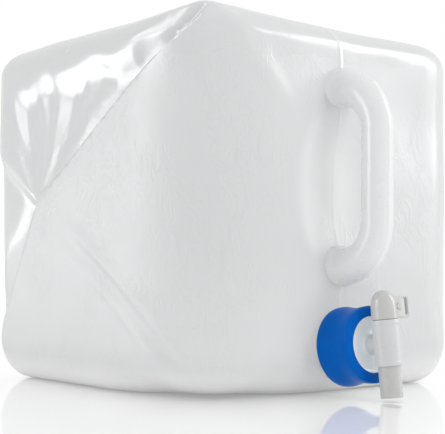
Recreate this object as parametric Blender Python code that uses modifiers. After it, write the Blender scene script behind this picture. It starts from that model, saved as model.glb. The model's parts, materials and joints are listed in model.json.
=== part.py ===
"""Collapsible water container: a cube-shaped bag with a handle, and a tap held in its neck by a ring nut."""

import math

import bmesh
import bpy
from mathutils import Matrix, Vector

# Bag, in metres. The origin is the middle of its base, and the handle and the tap are on its -Y side.
HALF_WIDTH = 0.141
HALF_DEPTH = 0.148
HEIGHT = 0.284
CORNER_RADIUS = 0.038
WALL = 0.0010
SIDE_BULGE = 0.006
FRONT_BULGE = 0.005
TOP_BULGE = 0.004
TIP_RISE = 0.012
HEEL_RISE = 0.006
HEEL_START = 0.4
RIM_DEPTH = 0.028
FINE_CELLS = (3, 10)
COARSE_CELLS = (2, 6)
GAP = 0.0003

# Hand recess in the front wall, behind the handle.
RECESS_CENTRE = 0.159
RECESS_HALF_WIDTH = 0.044
RECESS_HALF_HEIGHT = 0.062
RECESS_DEPTH = 0.014

# Carrying handle: a hollow D in the plane x = 0.
GRIP_OUT = 0.0425
GRIP_TOP = 0.206
GRIP_BOTTOM = 0.137
ROOT_TOP = 0.243
ROOT_BOTTOM = 0.104
ROOT_BURIED = 0.020
GRIP_RADIUS = 0.0105
ROOT_RADIUS = 0.0150
HANDLE_WALL = 0.0016
HANDLE_POINTS = 22

# Neck, along an axis that leans up from -Y. Stations are metres from the wall along that axis.
NECK_TILT = math.radians(7.5)
NECK_BASE = Vector((0.0, -HALF_DEPTH - 0.0025, 0.0375))
NECK_RADIUS = 0.0242
NECK_BORE = 0.0215
NECK_START = -0.008
NECK_END = 0.0261
NECK_FLAT = (0.034, 0.056)  # round the neck the wall is flat out to the first radius
SEAL_THICKNESS = 0.0019
FLANGE_THICKNESS = 0.0026
FLANGE_RADIUS = 0.0252
SEAL_BORE = 0.0180

# Ring nut.
RING_START = 0.0030
RING_LIP = 0.0030
RING_BASE_RADIUS = 0.0308
RING_FRONT_RADIUS = 0.0294
RING_BORE = 0.0262
RING_WINDOW = 0.0217

# Tap: a stem out of the flange into an upright barrel, and a turning core in the barrel.
BARREL_STATION = 0.0483
BARREL_RADIUS = 0.0108
BARREL_BORE = 0.0090
BARREL_HALF = 0.0175
STEM_RADIUS = 0.0068
STEM_BORE = 0.0046
CORE_RADIUS = 0.0086
CORE_BORE = 0.0062
CORE_ROOF = 0.0065
PORT_RADIUS = 0.0040
SPOUT_END = 0.0415
DOME_RADIUS = 0.0096
DOME_TOP = 0.0405
WING_REACH = 0.0262
WING_THICKNESS = 0.0030
WING_SPAN = (0.0196, 0.0380)

ROUND = 40
SMALL_ROUND = 32

MATERIALS = {
    "milky_polyethylene": ((0.84, 0.86, 0.88, 1.0), 0.22),
    "blue_polypropylene": ((0.00, 0.10, 0.42, 1.0), 0.30),
    "tap_white": ((0.72, 0.73, 0.74, 1.0), 0.32),
    "core_grey": ((0.56, 0.57, 0.58, 1.0), 0.32),
    "soft_seal": ((0.80, 0.80, 0.78, 1.0), 0.60),
}


def clear_scene():
    for item in list(bpy.data.objects):
        bpy.data.objects.remove(item)


def make_collection(name):
    found = bpy.data.collections.new(name)
    bpy.context.scene.collection.children.link(found)
    return found


def make_material(name):
    colour, roughness = MATERIALS[name]
    material = bpy.data.materials.new(name)
    material.use_nodes = True
    shader = material.node_tree.nodes["Principled BSDF"]
    shader.inputs["Base Color"].default_value = colour
    shader.inputs["Roughness"].default_value = roughness
    shader.inputs["Metallic"].default_value = 0.0
    return material


def make_empty(name, location, tilt, collection):
    """An empty at location, its Z axis leaning forward by tilt from straight up."""
    guide = bpy.data.objects.new(name, None)
    guide.location = location
    guide.rotation_euler = (tilt, 0.0, 0.0)
    collection.objects.link(guide)
    return guide


def make_object(name, mesh, collection, material=None, parent=None):
    item = bpy.data.objects.new(name, mesh)
    collection.objects.link(item)
    if material:
        mesh.materials.append(material)
    if parent:
        item.parent = parent
    return item


def as_cutter(item):
    item.hide_render = True
    item.display_type = "WIRE"
    return item


def cut(item, cutter, operation="DIFFERENCE"):
    step = item.modifiers.new(cutter.name, "BOOLEAN")
    step.object = cutter
    step.operation = operation
    step.solver = "EXACT"


def mesh_from(name, shape):
    mesh = bpy.data.meshes.new(name)
    shape.to_mesh(mesh)
    shape.free()
    return mesh


def rounded(mesh, angle=30):
    mesh.shade_smooth()
    mesh.set_sharp_from_angle(angle=math.radians(angle))
    return mesh


def box_object(name, low, high, collection, parent=None):
    """A box between two corners."""
    low, high = Vector(low), Vector(high)
    shape = bmesh.new()
    bmesh.ops.create_cube(shape, size=1.0)
    size = Matrix.Diagonal((*(high - low), 1.0))
    bmesh.ops.transform(shape, matrix=Matrix.Translation((low + high) / 2) @ size, verts=shape.verts)
    return make_object(name, mesh_from(name, shape), collection, parent=parent)


def rod_object(name, radius, low, high, collection, parent=None, segments=SMALL_ROUND):
    """A solid cylinder about the Z axis from low to high."""
    shape = bmesh.new()
    bmesh.ops.create_cone(
        shape, cap_ends=True, segments=segments, radius1=radius, radius2=radius, depth=high - low
    )
    bmesh.ops.translate(shape, vec=(0, 0, (low + high) / 2), verts=shape.verts)
    return make_object(name, mesh_from(name, shape), collection, parent=parent)


def turned_object(name, profile, collection, material, parent, segments=ROUND, closed=True):
    """A profile of (radius, height) points, running down its outer side, turned about the Z axis."""
    mesh = bpy.data.meshes.new(name)
    points = [(radius, 0.0, height) for radius, height in profile]
    edges = [(i, i + 1) for i in range(len(points) - 1)]
    if closed:
        edges.append((len(points) - 1, 0))
    mesh.from_pydata(points, edges, [])
    item = make_object(name, mesh, collection, material, parent)
    turn = item.modifiers.new("turn", "SCREW")
    turn.axis = "Z"
    turn.steps = segments
    turn.render_steps = segments
    turn.use_merge_vertices = True
    turn.merge_threshold = 0.00001
    turn.use_smooth_shade = False
    return item


def spread(share, half, cells):
    """Where a grid line at share (-1 to 1) of a face falls, so that edge cells share the rounding evenly."""
    edge, flat = cells
    limit = flat / (flat + 2 * edge)
    inner = half - CORNER_RADIUS
    size = abs(share)
    if size <= limit:
        place = inner * size / limit
    else:
        angle = math.radians(45) * (size - limit) / (1 - limit)
        place = inner + CORNER_RADIUS * math.tan(angle)
    return math.copysign(place, share)


def hump(share):
    """1 at the middle of a face, falling smoothly to 0 at its edges."""
    return max(0.0, 1.0 - share * share)


def bag_point(place, cells):
    """The point of the bag's outer surface for a point of a cube from -1 to 1."""
    halves = Vector((HALF_WIDTH, HALF_DEPTH, HEIGHT / 2))
    outer = Vector(spread(place[i], halves[i], cells) for i in range(3))
    inner = Vector(
        max(CORNER_RADIUS - halves[i], min(halves[i] - CORNER_RADIUS, outer[i])) for i in range(3)
    )
    point = inner + (outer - inner).normalized() * CORNER_RADIUS
    share = Vector(point[i] / halves[i] for i in range(3))
    bulged = point.copy()
    bulged.x += SIDE_BULGE * share.x * hump(share.y) * hump(share.z)
    front_or_back = FRONT_BULGE if share.y < 0 else SIDE_BULGE
    bulged.y += front_or_back * share.y * hump(share.x) * hump(share.z)
    bulged.z += TOP_BULGE * max(0.0, share.z) * hump(share.x) * hump(share.y)
    bulged.z += HEIGHT / 2
    if place[1] < -0.999:
        bulged.y += recess(bulged) + neck_flat(bulged)
    bulged.z += corner_rise(share)
    return bulged


def recess(point):
    across = point.x / RECESS_HALF_WIDTH
    up = (point.z - RECESS_CENTRE) / RECESS_HALF_HEIGHT
    reach = hump(min(1.0, math.hypot(across, up)))
    return RECESS_DEPTH * min(1.0, 1.6 * reach)


def neck_flat(point):
    """How far the front wall is pulled back round the neck, so that the ring nut can sit close to it."""
    reach = math.hypot(point.x, point.z - NECK_BASE.z)
    inner, outer = NECK_FLAT
    share = min(1.0, max(0.0, (outer - reach) / (outer - inner)))
    return max(0.0, -HALF_DEPTH - point.y) * share


def corner_rise(share):
    """The front left edge of the bag is drawn up: its top to a tip, its bottom a little off the floor."""
    if share.z > 0:
        return TIP_RISE * share.z * (1 - share.x) * (1 - share.y) / 4
    across = max(0.0, -share.x - HEEL_START) / (1 - HEEL_START)
    along = max(0.0, -share.y - HEEL_START) / (1 - HEEL_START)
    return -HEEL_RISE * share.z * across * along


def bag_mesh(name, cells, inflate=0.0):
    """The bag's closed outer surface, moved outward by inflate."""
    edge, flat = cells
    shape = bmesh.new()
    bmesh.ops.create_cube(shape, size=2.0)
    bmesh.ops.subdivide_edges(
        shape, edges=shape.edges[:], cuts=flat + 2 * edge - 1, use_grid_fill=True
    )
    for vert in shape.verts:
        vert.co = bag_point(vert.co.copy(), cells)
    shape.normal_update()
    if inflate:
        moves = [(vert, vert.normal * inflate) for vert in shape.verts]
        for vert, move in moves:
            vert.co += move
    bmesh.ops.triangulate(shape, faces=shape.faces[:])
    return mesh_from(name, shape)


def wall_object(name, cells, region, parts, material):
    """The part of the bag's wall that lies in region."""
    item = make_object(name, bag_mesh(name, cells), parts, material)
    skin = item.modifiers.new("wall", "SOLIDIFY")
    skin.thickness = WALL
    skin.offset = -1.0
    skin.use_even_offset = True
    cut(item, region, "INTERSECT")
    return item


def quarter_region(name, direction, cutters):
    """A bar turned 45 degrees about Y whose edge lies just outward of the bag's middle line."""
    side = 0.40
    start = HALF_DEPTH - RIM_DEPTH - GAP / 2
    bar = box_object(name, (-side / 2, -start, -side / 2), (side / 2, start, side / 2), cutters)
    reach = side / math.sqrt(2) + GAP / math.sqrt(2)
    bar.location = Vector((0, 0, HEIGHT / 2)) + Vector(direction) * reach
    bar.rotation_euler = (0, math.radians(45), 0)
    return as_cutter(bar)


def make_walls(parts, cutters, material):
    wide = 0.40
    seam = HALF_DEPTH - RIM_DEPTH + GAP / 2
    front_region = box_object("front_region", (-wide, -wide, -0.1), (wide, -seam, wide), cutters)
    back_region = box_object("back_region", (-wide, seam, -0.1), (wide, wide, wide), cutters)
    front = wall_object("front_wall", FINE_CELLS, as_cutter(front_region), parts, material)
    wall_object("back_wall", COARSE_CELLS, as_cutter(back_region), parts, material)
    sides = {
        "left_wall": (-1, 0, 0),
        "right_wall": (1, 0, 0),
        "top_wall": (0, 0, 1),
        "bottom_wall": (0, 0, -1),
    }
    for name, direction in sides.items():
        region = quarter_region(name.replace("wall", "region"), direction, cutters)
        wall_object(name, COARSE_CELLS, region, parts, material)
    return front


def handle_route():
    """Points and radii down the handle's middle line, from its upper root to its lower one."""
    face = -HALF_DEPTH
    grip = face - GRIP_OUT
    corners = [
        (face + ROOT_BURIED, ROOT_TOP + 0.004, ROOT_RADIUS),
        (face - 0.012, ROOT_TOP - 0.002, ROOT_RADIUS * 0.93),
        (face - 0.030, ROOT_TOP - 0.014, 0.0122),
        (grip, GRIP_TOP, GRIP_RADIUS),
        (grip, (GRIP_TOP + GRIP_BOTTOM) / 2, GRIP_RADIUS),
        (grip, GRIP_BOTTOM, GRIP_RADIUS),
        (face - 0.031, ROOT_BOTTOM + 0.011, 0.0122),
        (face - 0.012, ROOT_BOTTOM + 0.001, ROOT_RADIUS * 0.93),
        (face + ROOT_BURIED, ROOT_BOTTOM - 0.004, ROOT_RADIUS),
    ]
    return smooth_route([Vector(corner) for corner in corners], HANDLE_POINTS)


def smooth_route(corners, count):
    """A Catmull-Rom curve through the corners, read at count evenly stepped places."""
    padded = [corners[0] * 2 - corners[1], *corners, corners[-1] * 2 - corners[-2]]
    found = []
    for step in range(count):
        place = step / (count - 1) * (len(corners) - 1)
        index = min(int(place), len(corners) - 2)
        t = place - index
        a, b, c, d = padded[index : index + 4]
        bend = (a * 2 - b * 5 + c * 4 - d) * t * t + (b * 3 - a - c * 3 + d) * t * t * t
        found.append((b * 2 + (c - a) * t + bend) / 2)
    return found


def make_handle(parts, cutters, material):
    route = handle_route()
    curve = bpy.data.curves.new("handle_route", "CURVE")
    curve.dimensions = "3D"
    curve.bevel_depth = 1.0
    curve.bevel_resolution = 2
    line = curve.splines.new("POLY")
    line.points.add(len(route) - 1)
    for point, (y, z, radius) in zip(line.points, route):
        point.co = (0.0, y, z, 1.0)
        point.radius = radius
    guide = bpy.data.objects.new("handle_route", curve)
    parts.objects.link(guide)
    bpy.context.view_layer.update()
    evaluated = guide.evaluated_get(bpy.context.evaluated_depsgraph_get())
    mesh = bpy.data.meshes.new_from_object(evaluated)
    bpy.data.objects.remove(guide)
    mesh.name = "carry_handle"
    mesh.materials.clear()
    item = make_object("carry_handle", rounded(mesh, 60), parts, material)
    skin = item.modifiers.new("wall", "SOLIDIFY")
    skin.thickness = HANDLE_WALL
    skin.offset = -1.0
    trim = make_object("bag_outside", bag_mesh("bag_outside", FINE_CELLS, GAP), cutters)
    cut(item, as_cutter(trim))
    return item


def make_neck(parts, cutters, materials, front, axis):
    hole = rod_object("neck_hole", NECK_RADIUS + GAP, -0.03, 0.03, cutters, axis, ROUND)
    cut(front, as_cutter(hole))
    profile = [
        (NECK_RADIUS, NECK_END),
        (NECK_RADIUS, NECK_START),
        (NECK_BORE, NECK_START),
        (NECK_BORE, NECK_END),
    ]
    turned_object("neck", profile, parts, materials["milky_polyethylene"], axis)


def stations():
    """Where the seal, the tap's flange and the ring nut's lip start along the neck's axis."""
    seal = NECK_END + GAP
    flange = seal + SEAL_THICKNESS + GAP
    lip = flange + FLANGE_THICKNESS + GAP
    return seal, flange, lip


def make_seal(parts, materials, axis):
    seal = stations()[0]
    top = seal + SEAL_THICKNESS
    profile = [(FLANGE_RADIUS, top), (FLANGE_RADIUS, seal), (SEAL_BORE, seal), (SEAL_BORE, top)]
    turned_object("neck_gasket", profile, parts, materials["soft_seal"], axis)


def make_ring(parts, materials, axis):
    lip = stations()[2]
    front = lip + RING_LIP
    profile = [
        (RING_FRONT_RADIUS, front),
        (RING_BASE_RADIUS, RING_START),
        (RING_BORE, RING_START),
        (RING_BORE, lip),
        (RING_WINDOW, lip),
        (RING_WINDOW, front),
    ]
    turned_object("ring_nut", profile, parts, materials["blue_polypropylene"], axis)


def make_tap(parts, cutters, materials, axis, upright):
    flange = stations()[1]
    face = flange + FLANGE_THICKNESS
    profile = [
        (0.0, BARREL_STATION),
        (STEM_RADIUS, BARREL_STATION),
        (STEM_RADIUS, face),
        (FLANGE_RADIUS, face),
        (FLANGE_RADIUS, flange),
        (0.0, flange),
    ]
    tap = turned_object(
        "tap_body", profile, parts, materials["tap_white"], axis, SMALL_ROUND, closed=False
    )
    barrel = rod_object("barrel_outside", BARREL_RADIUS, -BARREL_HALF, BARREL_HALF, cutters, upright)
    bore = rod_object("barrel_bore", BARREL_BORE, -0.05, 0.05, cutters, upright)
    stem = rod_object("stem_bore", STEM_BORE, 0.02, BARREL_STATION, cutters, axis)
    cut(tap, as_cutter(barrel), "UNION")
    cut(tap, as_cutter(bore))
    cut(tap, as_cutter(stem))
    return tap


def dome_profile():
    """Outer side of the core, from the dome's top down to the spout's end."""
    steps = 5
    shoulder = BARREL_HALF + GAP
    flank = DOME_TOP - 0.004
    crown = [
        (DOME_RADIUS * math.sin(angle), flank + 0.004 * math.cos(angle))
        for angle in (math.radians(90) * step / steps for step in range(steps + 1))
    ]
    body = [
        (DOME_RADIUS + 0.0004, shoulder),
        (CORE_RADIUS, shoulder),
        (CORE_RADIUS, -SPOUT_END),
        (CORE_BORE, -SPOUT_END),
        (CORE_BORE, CORE_ROOF),
        (0.0, CORE_ROOF),
    ]
    return crown + body


def make_core(parts, cutters, materials, upright):
    core = turned_object(
        "valve_core", dome_profile(), parts, materials["core_grey"], upright, SMALL_ROUND, closed=False
    )
    low, high = WING_SPAN
    half = WING_THICKNESS / 2
    wing = box_object("wing", (0.004, -half, low), (WING_REACH, half, high), cutters, upright)
    edges = wing.modifiers.new("rounding", "BEVEL")
    edges.width = 0.0012
    edges.segments = 2
    cut(core, as_cutter(wing), "UNION")
    port = rod_object("core_port", PORT_RADIUS, 0.0, 0.02, cutters, upright)
    port.rotation_euler = (0.0, math.radians(-90), 0.0)
    cut(core, as_cutter(port))
    return core


def build():
    clear_scene()
    parts = make_collection("folding_water_container")
    cutters = make_collection("cutters")
    materials = {name: make_material(name) for name in MATERIALS}
    milky = materials["milky_polyethylene"]
    front = make_walls(parts, cutters, milky)
    make_handle(parts, cutters, milky)
    axis = make_empty("neck_axis", NECK_BASE, math.radians(90) - NECK_TILT, parts)
    outward = Vector((0.0, -math.cos(NECK_TILT), math.sin(NECK_TILT)))
    barrel_middle = NECK_BASE + outward * BARREL_STATION
    upright = make_empty("barrel_axis", barrel_middle, -NECK_TILT, parts)
    make_neck(parts, cutters, materials, front, axis)
    make_seal(parts, materials, axis)
    make_ring(parts, materials, axis)
    make_tap(parts, cutters, materials, axis, upright)
    make_core(parts, cutters, materials, upright)


build()
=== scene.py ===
import json
import math

import bmesh
import bpy
import numpy as np
from mathutils import Matrix, Vector, noise

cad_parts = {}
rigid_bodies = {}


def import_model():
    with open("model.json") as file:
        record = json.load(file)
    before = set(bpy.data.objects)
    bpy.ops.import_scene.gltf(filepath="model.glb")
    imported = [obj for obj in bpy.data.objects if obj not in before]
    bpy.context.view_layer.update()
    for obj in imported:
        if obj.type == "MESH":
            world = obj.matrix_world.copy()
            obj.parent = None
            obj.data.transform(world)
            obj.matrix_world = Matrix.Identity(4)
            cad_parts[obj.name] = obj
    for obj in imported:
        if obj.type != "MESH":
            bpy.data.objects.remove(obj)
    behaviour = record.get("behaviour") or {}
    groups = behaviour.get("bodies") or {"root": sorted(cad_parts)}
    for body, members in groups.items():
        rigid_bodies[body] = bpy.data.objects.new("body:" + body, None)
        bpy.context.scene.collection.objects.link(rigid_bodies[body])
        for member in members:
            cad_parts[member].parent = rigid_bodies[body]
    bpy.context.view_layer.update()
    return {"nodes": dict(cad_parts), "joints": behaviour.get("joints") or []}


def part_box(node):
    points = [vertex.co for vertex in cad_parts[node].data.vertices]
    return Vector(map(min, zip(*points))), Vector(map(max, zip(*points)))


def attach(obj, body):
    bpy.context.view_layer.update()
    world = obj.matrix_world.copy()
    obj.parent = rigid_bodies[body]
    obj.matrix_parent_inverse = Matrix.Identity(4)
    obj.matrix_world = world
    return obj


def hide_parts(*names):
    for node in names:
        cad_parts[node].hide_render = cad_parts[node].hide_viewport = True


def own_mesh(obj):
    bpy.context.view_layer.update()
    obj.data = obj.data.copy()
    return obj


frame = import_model()
joints = {joint["name"]: joint for joint in frame["joints"]}
scene = bpy.context.scene
print("frame loaded:", len(frame["nodes"]), "nodes")

outward = Vector(joints["ring_turn"]["axis"])  # the neck's axis, away from the bag
neckBase = Vector(joints["ring_turn"]["pos_m"])
barrelMiddle = Vector(joints["valve_turn"]["pos_m"])
upright = outward.cross(Vector((1, 0, 0)))  # the barrel's axis, towards the key


def frameMatrix(side, depth, up, place):
    matrix = Matrix((side, depth, up)).transposed().to_4x4()
    matrix.translation = place
    return matrix


neckFrame = frameMatrix(Vector((1, 0, 0)), upright, outward, neckBase)
barrelFrame = frameMatrix(Vector((1, 0, 0)), -outward, upright, barrelMiddle)


def linkObject(name, mesh, material=None):
    piece = bpy.data.objects.new(name, mesh)
    scene.collection.objects.link(piece)
    if material:
        mesh.materials.clear()
        mesh.materials.append(material)
    return piece


def meshFromLists(name, points, faces):
    mesh = bpy.data.meshes.new(name)
    mesh.from_pydata([tuple(point) for point in points], [], faces)
    mesh.validate()
    return mesh


def faceOutwards(mesh):
    shape = bmesh.new()
    shape.from_mesh(mesh)
    bmesh.ops.recalc_face_normals(shape, faces=shape.faces[:])
    shape.to_mesh(mesh)
    shape.free()
    return mesh


def smoothShade(mesh, angle=35):
    mesh.shade_smooth()
    mesh.set_sharp_from_angle(angle=math.radians(angle))
    return mesh


def bakeModifiers(piece):  # turns live modifiers into a plain mesh
    bpy.context.view_layer.update()
    evaluated = piece.evaluated_get(bpy.context.evaluated_depsgraph_get())
    mesh = bpy.data.meshes.new_from_object(evaluated)
    piece.modifiers.clear()
    old = piece.data
    piece.data = mesh
    mesh.name = piece.name
    bpy.data.meshes.remove(old)
    return piece


def softProfile(corners, steps=4):
    # corners are (radius, height, rounding); each corner becomes an arc-like run of points
    points = []
    count = len(corners)
    for index, (radius, height, rounding) in enumerate(corners):
        here = Vector((radius, height))
        if rounding <= 0:
            points.append(here)
            continue
        before = Vector(corners[index - 1][:2])
        after = Vector(corners[(index + 1) % count][:2])
        start = here + (before - here).normalized() * min(rounding, (before - here).length * 0.49)
        end = here + (after - here).normalized() * min(rounding, (after - here).length * 0.49)
        for step in range(steps + 1):
            t = step / steps
            points.append(start * (1 - t) ** 2 + here * 2 * t * (1 - t) + end * t * t)
    return points


def turnedMesh(name, profile, segments=96, closed=True):
    # profile points are (radius, height); a point with radius 0 is a pole
    points = []
    rows = []
    for radius, height in profile:
        if radius < 1e-7:
            rows.append([len(points)])
            points.append((0, 0, height))
            continue
        rows.append(list(range(len(points), len(points) + segments)))
        for step in range(segments):
            angle = 2 * math.pi * step / segments
            points.append((radius * math.cos(angle), radius * math.sin(angle), height))
    faces = []
    pairs = list(zip(rows, rows[1:] + rows[:1])) if closed else list(zip(rows, rows[1:]))
    for low, high in pairs:
        for step in range(segments):
            following = (step + 1) % segments
            if len(low) == 1 and len(high) == 1:
                break
            if len(low) == 1:
                faces.append((low[0], high[step], high[following]))
            elif len(high) == 1:
                faces.append((low[step], low[following], high[0]))
            else:
                faces.append((low[step], low[following], high[following], high[step]))
    return faceOutwards(meshFromLists(name, points, faces))


def smoothStep(values):
    held = np.clip(values, 0.0, 1.0)
    return held * held * (3 - 2 * held)


def noiseAt(points, size, seed, detail=2):
    # fractal noise at each point, for features of about the given size
    offset = Vector((seed * 3.1, seed * 1.7, seed * 2.3))
    return np.array([noise.fractal(Vector(point) / size + offset, 1.0, 2.0, detail) for point in points])


def newMaterial(name):
    material = bpy.data.materials.new(name)
    material.use_nodes = True
    return material, material.node_tree, material.node_tree.nodes["Principled BSDF"]


def addNode(tree, kind, **inputs):
    node = tree.nodes.new(kind)
    for key, value in inputs.items():
        node.inputs[key.replace("_", " ")].default_value = value
    return node


def noiseNode(tree, vector, scale, detail=3.0, roughness=0.55):
    node = addNode(tree, "ShaderNodeTexNoise", Scale=scale, Detail=detail, Roughness=roughness)
    tree.links.new(vector, node.inputs["Vector"])
    return node.outputs["Fac"]


def rangeNode(tree, value, fromLow, fromHigh, toLow, toHigh):
    node = tree.nodes.new("ShaderNodeMapRange")
    node.inputs["From Min"].default_value = fromLow
    node.inputs["From Max"].default_value = fromHigh
    node.inputs["To Min"].default_value = toLow
    node.inputs["To Max"].default_value = toHigh
    tree.links.new(value, node.inputs["Value"])
    return node.outputs["Result"]


def mathNode(tree, operation, first, second=None):
    node = tree.nodes.new("ShaderNodeMath")
    node.operation = operation
    for index, value in enumerate((first, second)):
        if value is None:
            continue
        if isinstance(value, (int, float)):
            node.inputs[index].default_value = value
        else:
            tree.links.new(value, node.inputs[index])
    return node.outputs["Value"]


def mapped(tree, vector, scale=(1, 1, 1), turn=(0, 0, 0)):
    node = tree.nodes.new("ShaderNodeMapping")
    node.inputs["Scale"].default_value = scale
    node.inputs["Rotation"].default_value = turn
    tree.links.new(vector, node.inputs["Vector"])
    return node.outputs["Vector"]


def blendColours(tree, factor, dark, light):
    node = tree.nodes.new("ShaderNodeMix")
    node.data_type = "RGBA"
    tree.links.new(factor, node.inputs["Factor"])
    node.inputs[6].default_value = (*dark, 1)
    node.inputs[7].default_value = (*light, 1)
    return node.outputs[2]


def bumpNode(tree, height, strength, distance, below=None):
    node = addNode(tree, "ShaderNodeBump", Strength=strength, Distance=distance)
    tree.links.new(height, node.inputs["Height"])
    if below:
        tree.links.new(below, node.inputs["Normal"])
    return node.outputs["Normal"]


milkyLook = dict(
    dark=(0.725, 0.737, 0.742),
    light=(0.755, 0.765, 0.768),
    # colour of the paler parting line and of the painted light in the recess and round the bottom rim
    paleBeadAndPaintedLight=(0.90, 0.90, 0.90),
    cloudSize=9.0,
    handleLift=0.10,
    glossy=0.235,  # roughness where the wall is stretched
    matt=0.50,
    handleRoughness=0.27,
    smearSize=38.0,
    smearSpread=0.04,
    ior=1.5,
    rippleSize=16.0,
    rippleHeight=0.0011,
    wrinkleSize=85.0,
    wrinkleTwist=1.2,
    wrinkleWidth=0.09,
    wrinkleHeight=0.00036,
    wrinkleLeft=0.25,  # share of the wrinkles that is left where the wall is stretched
    patchSize=14.0,
    grainSize=230.0,
    grainHeight=0.00010,
    beadHalfWidth=0.0017,
    beadPaleness=0.5,
)


def milkyPolyethylene(name, lift, even):
    # lift makes thick mouldings paler; an even gloss is used where the mesh has no gloss of its own
    look = milkyLook
    material, tree, shader = newMaterial(name)
    place = tree.nodes.new("ShaderNodeTexCoord").outputs["Object"]
    cloud = noiseNode(tree, place, look["cloudSize"], 4.0)
    dark, light = ([value + lift for value in look[key]] for key in ("dark", "light"))
    # painted light from the mesh: the wall is painted paler in the recess and round the bottom rim, and
    # paler low down on the left
    paintedLightPaleness = tree.nodes.new("ShaderNodeAttribute")
    paintedLightPaleness.attribute_name = "paleAndPaintedLight"
    split = tree.nodes.new("ShaderNodeSeparateXYZ")
    tree.links.new(place, split.inputs["Vector"])
    # the mould's parting line is a little paler, in the middle plane
    across = mathNode(tree, "ABSOLUTE", split.outputs["X"])
    half = look["beadHalfWidth"]
    bead = rangeNode(tree, across, half * 0.35, half, look["beadPaleness"], 0.0)
    paleAndPaintedLight = tree.nodes.new("ShaderNodeMix")
    paleAndPaintedLight.data_type = "RGBA"
    tree.links.new(mathNode(tree, "MAXIMUM", bead, paintedLightPaleness.outputs["Fac"]), paleAndPaintedLight.inputs["Factor"])
    tree.links.new(blendColours(tree, cloud, dark, light), paleAndPaintedLight.inputs[6])
    paleAndPaintedLight.inputs[7].default_value = (*look["paleBeadAndPaintedLight"], 1)
    tree.links.new(paleAndPaintedLight.outputs[2], shader.inputs["Base Color"])
    if even is None:
        shine = tree.nodes.new("ShaderNodeAttribute")
        shine.attribute_name = "gloss"
        gloss = rangeNode(tree, shine.outputs["Fac"], 0.0, 1.0, look["matt"], look["glossy"])
        fineness = rangeNode(tree, shine.outputs["Fac"], 0.0, 1.0, 1.0, look["wrinkleLeft"])
    else:
        gloss = fineness = even
    spread = look["smearSpread"]
    smear = rangeNode(tree, noiseNode(tree, place, look["smearSize"]), 0.3, 0.7, -spread, spread)
    tree.links.new(mathNode(tree, "ADD", smear, gloss), shader.inputs["Roughness"])
    shader.inputs["IOR"].default_value = look["ior"]
    # broad unevenness, fine worming wrinkles in the matt skin, and the grain of the mould
    ripple = noiseNode(tree, place, look["rippleSize"], 2.0)
    worm = tree.nodes.new("ShaderNodeTexNoise")
    worm.inputs["Scale"].default_value = look["wrinkleSize"]
    worm.inputs["Detail"].default_value = 3.0
    worm.inputs["Distortion"].default_value = look["wrinkleTwist"]
    tree.links.new(mapped(tree, place, (1.0, 1.0, 0.55), (0.5, 0.3, 0.0)), worm.inputs["Vector"])
    ridged = mathNode(tree, "ABSOLUTE", mathNode(tree, "SUBTRACT", worm.outputs["Fac"], 0.5))
    wrinkle = rangeNode(tree, ridged, 0.0, look["wrinkleWidth"], 1.0, 0.0)
    patchy = rangeNode(tree, noiseNode(tree, place, look["patchSize"], 2.0), 0.42, 0.62, 0.0, 1.0)
    worn = mathNode(tree, "MULTIPLY", mathNode(tree, "MULTIPLY", wrinkle, patchy), fineness)
    grain = noiseNode(tree, place, look["grainSize"])
    first = bumpNode(tree, ripple, 0.5, look["rippleHeight"])
    second = bumpNode(tree, worn, 0.6, look["wrinkleHeight"], first)
    tree.links.new(bumpNode(tree, grain, 0.5, look["grainHeight"], second), shader.inputs["Normal"])
    return material


plasticLook = dict(
    cloudSize=60.0,
    smearSize=140.0,
    fineSize=900.0,
    broadSize=120.0,
    discEdge=0.0325,  # how far out along the neck the painted bounce light on the disc reaches
    discBlur=0.0004,
)


def mouldedPlastic(name, dark, light, roughness, grain, specular=0.5, paintedRingBounce=None):
    # the disc that closes the neck gets a paler, bluish colour: painted light standing in for the blue
    # ring's bounce light and lifting the disc's shade
    look = plasticLook
    material, tree, shader = newMaterial(name)
    place = tree.nodes.new("ShaderNodeTexCoord").outputs["Object"]
    cloud = noiseNode(tree, place, look["cloudSize"])
    colour = blendColours(tree, cloud, dark, light)
    # painted light: the disc is painted paler and bluish
    if paintedRingBounce:
        along = tree.nodes.new("ShaderNodeVectorMath")
        along.operation = "DOT_PRODUCT"
        along.inputs[1].default_value = outward
        tree.links.new(place, along.inputs[0])
        edge = neckBase.dot(outward) + look["discEdge"]
        blur = look["discBlur"]
        paintedBounceMask = rangeNode(tree, along.outputs["Value"], edge - blur, edge + blur, 1.0, 0.0)
        paler = tree.nodes.new("ShaderNodeMix")
        paler.data_type = "RGBA"
        tree.links.new(paintedBounceMask, paler.inputs["Factor"])
        tree.links.new(colour, paler.inputs[6])
        paler.inputs[7].default_value = (*paintedRingBounce, 1)
        colour = paler.outputs[2]
    tree.links.new(colour, shader.inputs["Base Color"])
    shader.inputs["Specular IOR Level"].default_value = specular
    smear = noiseNode(tree, place, look["smearSize"])
    tree.links.new(rangeNode(tree, smear, 0.3, 0.7, *roughness), shader.inputs["Roughness"])
    fine = noiseNode(tree, place, look["fineSize"], 2.0)
    broad = noiseNode(tree, place, look["broadSize"], 2.0)
    first = bumpNode(tree, fine, 0.35, grain)
    tree.links.new(bumpNode(tree, broad, 0.3, grain * 4, first), shader.inputs["Normal"])
    return material


milky = milkyPolyethylene("milkyPolyethylene", 0.0, None)
milkyThick = milkyPolyethylene(
    "milkyThickPolyethylene", milkyLook["handleLift"], milkyLook["handleRoughness"]
)
ringBlue = mouldedPlastic(
    "ringBlue", (0.0, 0.106, 0.49), (0.0, 0.138, 0.57), (0.28, 0.38), 0.00006, specular=0.05
)
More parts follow.
